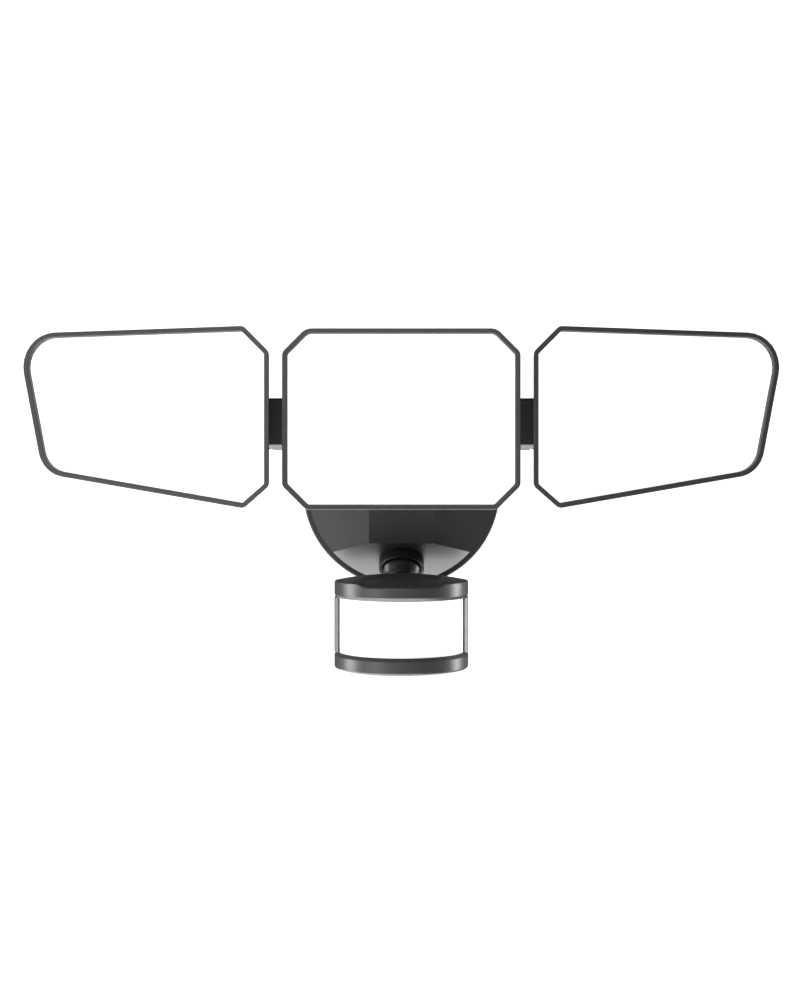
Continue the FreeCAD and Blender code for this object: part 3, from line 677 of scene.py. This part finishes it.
# Sensor: the plan is a half circle in front with straight sides and a round-cornered rear.
sensor = {"radius": 42.0, "centreY": -52.0, "rearY": -26.0, "rearCorner": 8.0, "edgeZ": -57.5, "rise": 4.5,
          "capBottom": -67.9, "sillTop": -101.6, "bevelHeight": 2.1, "bevelDepth": 1.1, "wall": 2.5,
          "topRound": 1.0, "dipDepth": 2.0, "dipBottom": 22.3, "dipTop": 26.2, "dipRear": (-54.0, -66.0),
          "crease": 0.35, "points": 300}


def sensorPlan():
    # the outline as (x, y) at even steps, and its outward directions
    r, front, rear = sensor["radius"], sensor["centreY"] - sensor["radius"], sensor["rearY"]
    corner = sensor["rearCorner"]
    corners = [(r, front, r), (r, rear, corner), (-r, rear, corner), (-r, front, r)]
    outline = evenly(roundedOutline(corners, 0.0, 60)[0], sensor["points"])
    along = np.roll(outline, -1, axis=0) - np.roll(outline, 1, axis=0)
    return outline, unit(np.stack([along[:, 1], -along[:, 0]], -1))


def topHeight(x, y):
    # the lower of the crown and the rear shoulder, less a dip of even depth in the front part of the crown
    r, rise, centreY = sensor["radius"], sensor["rise"], sensor["centreY"]
    sphere = (r ** 2 + rise ** 2) / (2 * rise)
    crown = sensor["edgeZ"] + rise - sphere + np.sqrt(sphere ** 2 - x ** 2 - (y - centreY) ** 2)
    seat = ballCentre + facetNormal * joint["reach"]
    shoulder = seat[2] - (y - seat[1]) * facetNormal[1] / facetNormal[2]
    top, bottom, depth = sensor["dipTop"], sensor["dipBottom"], sensor["dipDepth"]
    slope = (top - np.abs(x)) / (top - bottom) * depth
    rear, full = sensor["dipRear"]
    depth = depth * np.clip((rear - y) / (rear - full), 0, 1)
    dip = softMax(softMin(slope, depth, sensor["crease"]), 0, sensor["crease"])
    return softMin(crown - dip, shoulder, 1.2)


def topCap():
    # from the middle of the roof out to the rounded edge, down the wall, and back inside under the roof
    outline, outward = sensorPlan()
    middle = np.array([0.0, sensor["centreY"]])
    round_, wall = sensor["topRound"], sensor["wall"]

    def ring(inset, z):
        plan = outline - outward * inset
        return np.stack([plan[:, 0], plan[:, 1], np.broadcast_to(z, len(plan))], -1)

    def roof(inset, drop, scales):
        plan = middle + scales[:, None, None] * (outline - outward * inset - middle)
        z = topHeight(plan[..., 0], plan[..., 1]) - drop
        return np.concatenate([plan, z[..., None]], -1)

    outside = roof(round_, 0.0, np.sin(np.linspace(0, np.pi / 2, 70)))
    turn = np.linspace(0, np.pi / 2, 6)[1:]
    edge = []
    for angle in turn:
        inset = round_ * (1 - math.sin(angle))
        plan = outline - outward * inset
        edge.append(ring(inset, topHeight(plan[:, 0], plan[:, 1]) - round_ * (1 - math.cos(angle))))
    bottom, height, depth = sensor["capBottom"], sensor["bevelHeight"], sensor["bevelDepth"]
    hem = [ring(0, bottom + height + 0.6), ring(0, bottom + height + 0.25), ring(0.10, bottom + height - 0.2),
           ring(depth - 0.15, bottom + 0.2), ring(depth + 0.1, bottom), ring(wall - 0.1, bottom),
           ring(wall, bottom + 0.1)]
    inside = roof(wall, wall, np.sin(np.linspace(np.pi / 2, 0, 24)))
    return np.concatenate([outside, np.array(edge), np.array(hem), inside])


def sensorLens():
    # a thin band of cells: r = outer radius less a shallow groove along every cell's border
    look = {"columns": 15, "rows": 3, "groove": 0.10, "grooveWidth": 0.5, "thickness": 1.2}
    outer = sensor["radius"] - sensor["wall"] - 0.03
    low, high = sensor["sillTop"] - 2.0, sensor["capBottom"] + 2.0
    endAngle = math.acos(6.0 / outer)
    angle = np.linspace(-endAngle, endAngle, 331)[:, None]
    z = np.linspace(low, high, 85)[None, :]

    def border(position, count):
        # how far a place between 0 and 1 is from the nearest of the borders
        return np.abs(position * count - np.round(position * count)) / count

    column = border((angle + endAngle) / (2 * endAngle), look["columns"]) * 2 * endAngle * outer
    row = border((z - low) / (high - low), look["rows"]) * (high - low)
    groove = np.exp(-(np.minimum(column, row) / look["grooveWidth"]) ** 2)
    radius = outer - look["groove"] * groove
    front = np.stack([radius * np.sin(angle), sensor["centreY"] - radius * np.cos(angle), z + 0 * angle], -1)
    inner = outer - look["thickness"]
    backZ = np.linspace(high, low, 3)[None, :]
    back = np.stack([inner * np.sin(angle) + 0 * backZ, sensor["centreY"] - inner * np.cos(angle) + 0 * backZ,
                     backZ + 0 * angle], -1)
    return np.concatenate([front, back], axis=1)


evenShading(install(meshPiece("sensor_roof", topCap(), sharpAngle=40), "sensor_top_cap"))
install(meshPiece("sensor_lens_band", sensorLens()), "sensor_lens")
softened("sensor_rear_case", 0.5)
softened("sensor_bottom_cap", 0.5)


def dial(node):
    # a knob under the sensor: r = profile radius - depth * (1 + cos(flutes * angle)) / 2 round the rim,
    # and a pointer groove pressed into its face towards the front
    look = {"radius": 5.5, "rimHeight": 5.5, "shaft": 2.0, "flutes": 18, "fluteDepth": 0.3,
            "grooveHalf": 0.6, "grooveDepth": 0.8}
    low, high = (np.array(corner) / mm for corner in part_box(node))
    radius, height = look["radius"], look["rimHeight"]
    face = np.stack([np.linspace(0, radius - 0.7, 26), np.zeros(26)], -1)
    side = softPath([face[-1], (radius, 0), (radius, height), (look["shaft"], height),
                     (look["shaft"], high[2] - low[2]), (0, high[2] - low[2])], [0.5, 0.5, 0.2, 0.4])
    profile = np.vstack([face[:-1], side])
    angle = np.linspace(0, 2 * np.pi, 181)[:-1]
    fluted = np.clip((profile[:, 0] - radius + 0.6) / 0.6, 0, 1)[:, None]
    r = profile[:, :1] - look["fluteDepth"] * fluted * (1 + np.cos(look["flutes"] * angle)) / 2
    x = r * np.sin(angle)
    y = -r * np.cos(angle)
    pressed = np.clip((look["grooveHalf"] + 0.1 - np.abs(x)) / 0.2, 0, 1) * (y < 0.1)
    z = np.maximum(profile[:, 1:] + 0 * angle, look["grooveDepth"] * pressed)
    middle = (low + high) / 2
    return np.stack([middle[0] + x, middle[1] + y, low[2] + z], -1)


for name in ("time", "lux", "range"):
    evenShading(install(meshPiece(name + "_dial", dial(name + "_knob")), name + "_knob"))
print("sensor made")


# Stage: a pale floor that runs up into a backdrop, soft lights, and the camera at the photo's place.
stage = {"floorZ": -0.62, "backY": 2.4, "bend": 0.9, "frontY": -3.5, "backTop": 3.2, "halfWidth": 4.5,
         "glow": 1.1}


def sweep():
    # flat floor, quarter bend and upright backdrop: a profile of (y, z) carried along x
    turn = np.linspace(0, np.pi / 2, 24)
    y = stage["backY"] - stage["bend"] * (1 - np.sin(turn))
    z = stage["floorZ"] + stage["bend"] * (1 - np.cos(turn))
    y = np.concatenate([[stage["frontY"]], y, [stage["backY"]]])
    z = np.concatenate([[stage["floorZ"]], z, [stage["backTop"]]])
    x = np.linspace(-stage["halfWidth"], stage["halfWidth"], 2)
    points = np.stack([np.repeat(x, len(y)), np.tile(y, 2), np.tile(z, 2)], -1)
    first = np.arange(len(y) - 1)
    quads = np.stack([first, first + len(y), first + len(y) + 1, first + 1], -1)
    mesh = bpy.data.meshes.new("floor_sweep")
    mesh.from_pydata(points, [], quads.tolist())
    mesh.shade_smooth()
    floor = bpy.data.objects.new("floor_sweep", mesh)
    bpy.context.scene.collection.objects.link(floor)
    paper = Finish("paper", Roughness=0.9, Emission_Strength=stage["glow"])
    tone = paper.blendColour(paper.noise(400.0, 1.0), grey(0.90), grey(0.93))
    paper.feed("Base Color", tone)
    paper.feed("Emission Color", tone)
    mesh.materials.append(paper.material)
    floor.visible_diffuse = False  # the paper is only seen; the soft lights do the lighting
    floor.visible_glossy = False


skyTones = [(0.0, 0.3), (0.5, 0.2), (0.62, 0.16), (0.8, 0.06), (1.0, 0.05)]  # straight down to straight up


def skyLight():
    # dim overhead, brighter round the horizon and below
    world = bpy.data.worlds.new("studio")
    bpy.context.scene.world = world
    world.use_nodes = True
    tree = world.node_tree
    where = tree.nodes.new("ShaderNodeTexCoord")
    split = tree.nodes.new("ShaderNodeSeparateXYZ")
    level = tree.nodes.new("ShaderNodeMapRange")
    ramp = tree.nodes.new("ShaderNodeValToRGB")
    level.inputs["From Min"].default_value = -1.0
    fillRamp(ramp.color_ramp, [(height, grey(tone)) for height, tone in skyTones])
    tree.links.new(where.outputs["Generated"], split.inputs[0])
    tree.links.new(split.outputs["Z"], level.inputs["Value"])
    tree.links.new(level.outputs[0], ramp.inputs[0])
    tree.links.new(ramp.outputs[0], tree.nodes["Background"].inputs["Color"])


lights = [
    # name, place, size across and up, watts
    ("leftStrip", (-1.5, 0.1, -0.05), (0.5, 1.6), 24.0),
    ("rightStrip", (1.5, 0.42, -0.05), (0.3, 1.6), 25.0),
    ("lowLeft", (-1.2, -1.2, -0.2), (0.8, 0.8), 3.6),
    ("highFront", (-0.3, -1.5, 0.9), (1.4, 0.7), 11.0),
    ("floorBounce", (-0.1, 0.0, -0.75), (2.6, 1.5), 68.0),
]


def softLight(name, place, size, watts):
    data = bpy.data.lights.new(name, "AREA")
    data.shape = "RECTANGLE"
    data.size, data.size_y = size
    data.energy = watts
    lamp = bpy.data.objects.new(name, data)
    lamp.location = place
    lamp.rotation_euler = (-Vector(place)).to_track_quat("-Z", "Y").to_euler()
    lamp.visible_camera = False
    bpy.context.scene.collection.objects.link(lamp)


view = {"place": (0.0007, -0.804, -0.0072), "pitch": 90.0, "lens": 43.08, "sensorWidth": 36.0}


def photoCamera():
    # level and straight from the front
    data = bpy.data.cameras.new("photoCamera")
    data.sensor_fit = "AUTO"
    data.sensor_width = view["sensorWidth"]
    data.lens = view["lens"]
    camera = bpy.data.objects.new("photoCamera", data)
    camera.location = view["place"]
    camera.rotation_euler = (math.radians(view["pitch"]), 0, 0)
    bpy.context.scene.collection.objects.link(camera)
    bpy.context.scene.camera = camera


sweep()
skyLight()
for light in lights:
    softLight(*light)
photoCamera()
bpy.context.scene.view_settings.view_transform = "Standard"
print("stage and camera made")
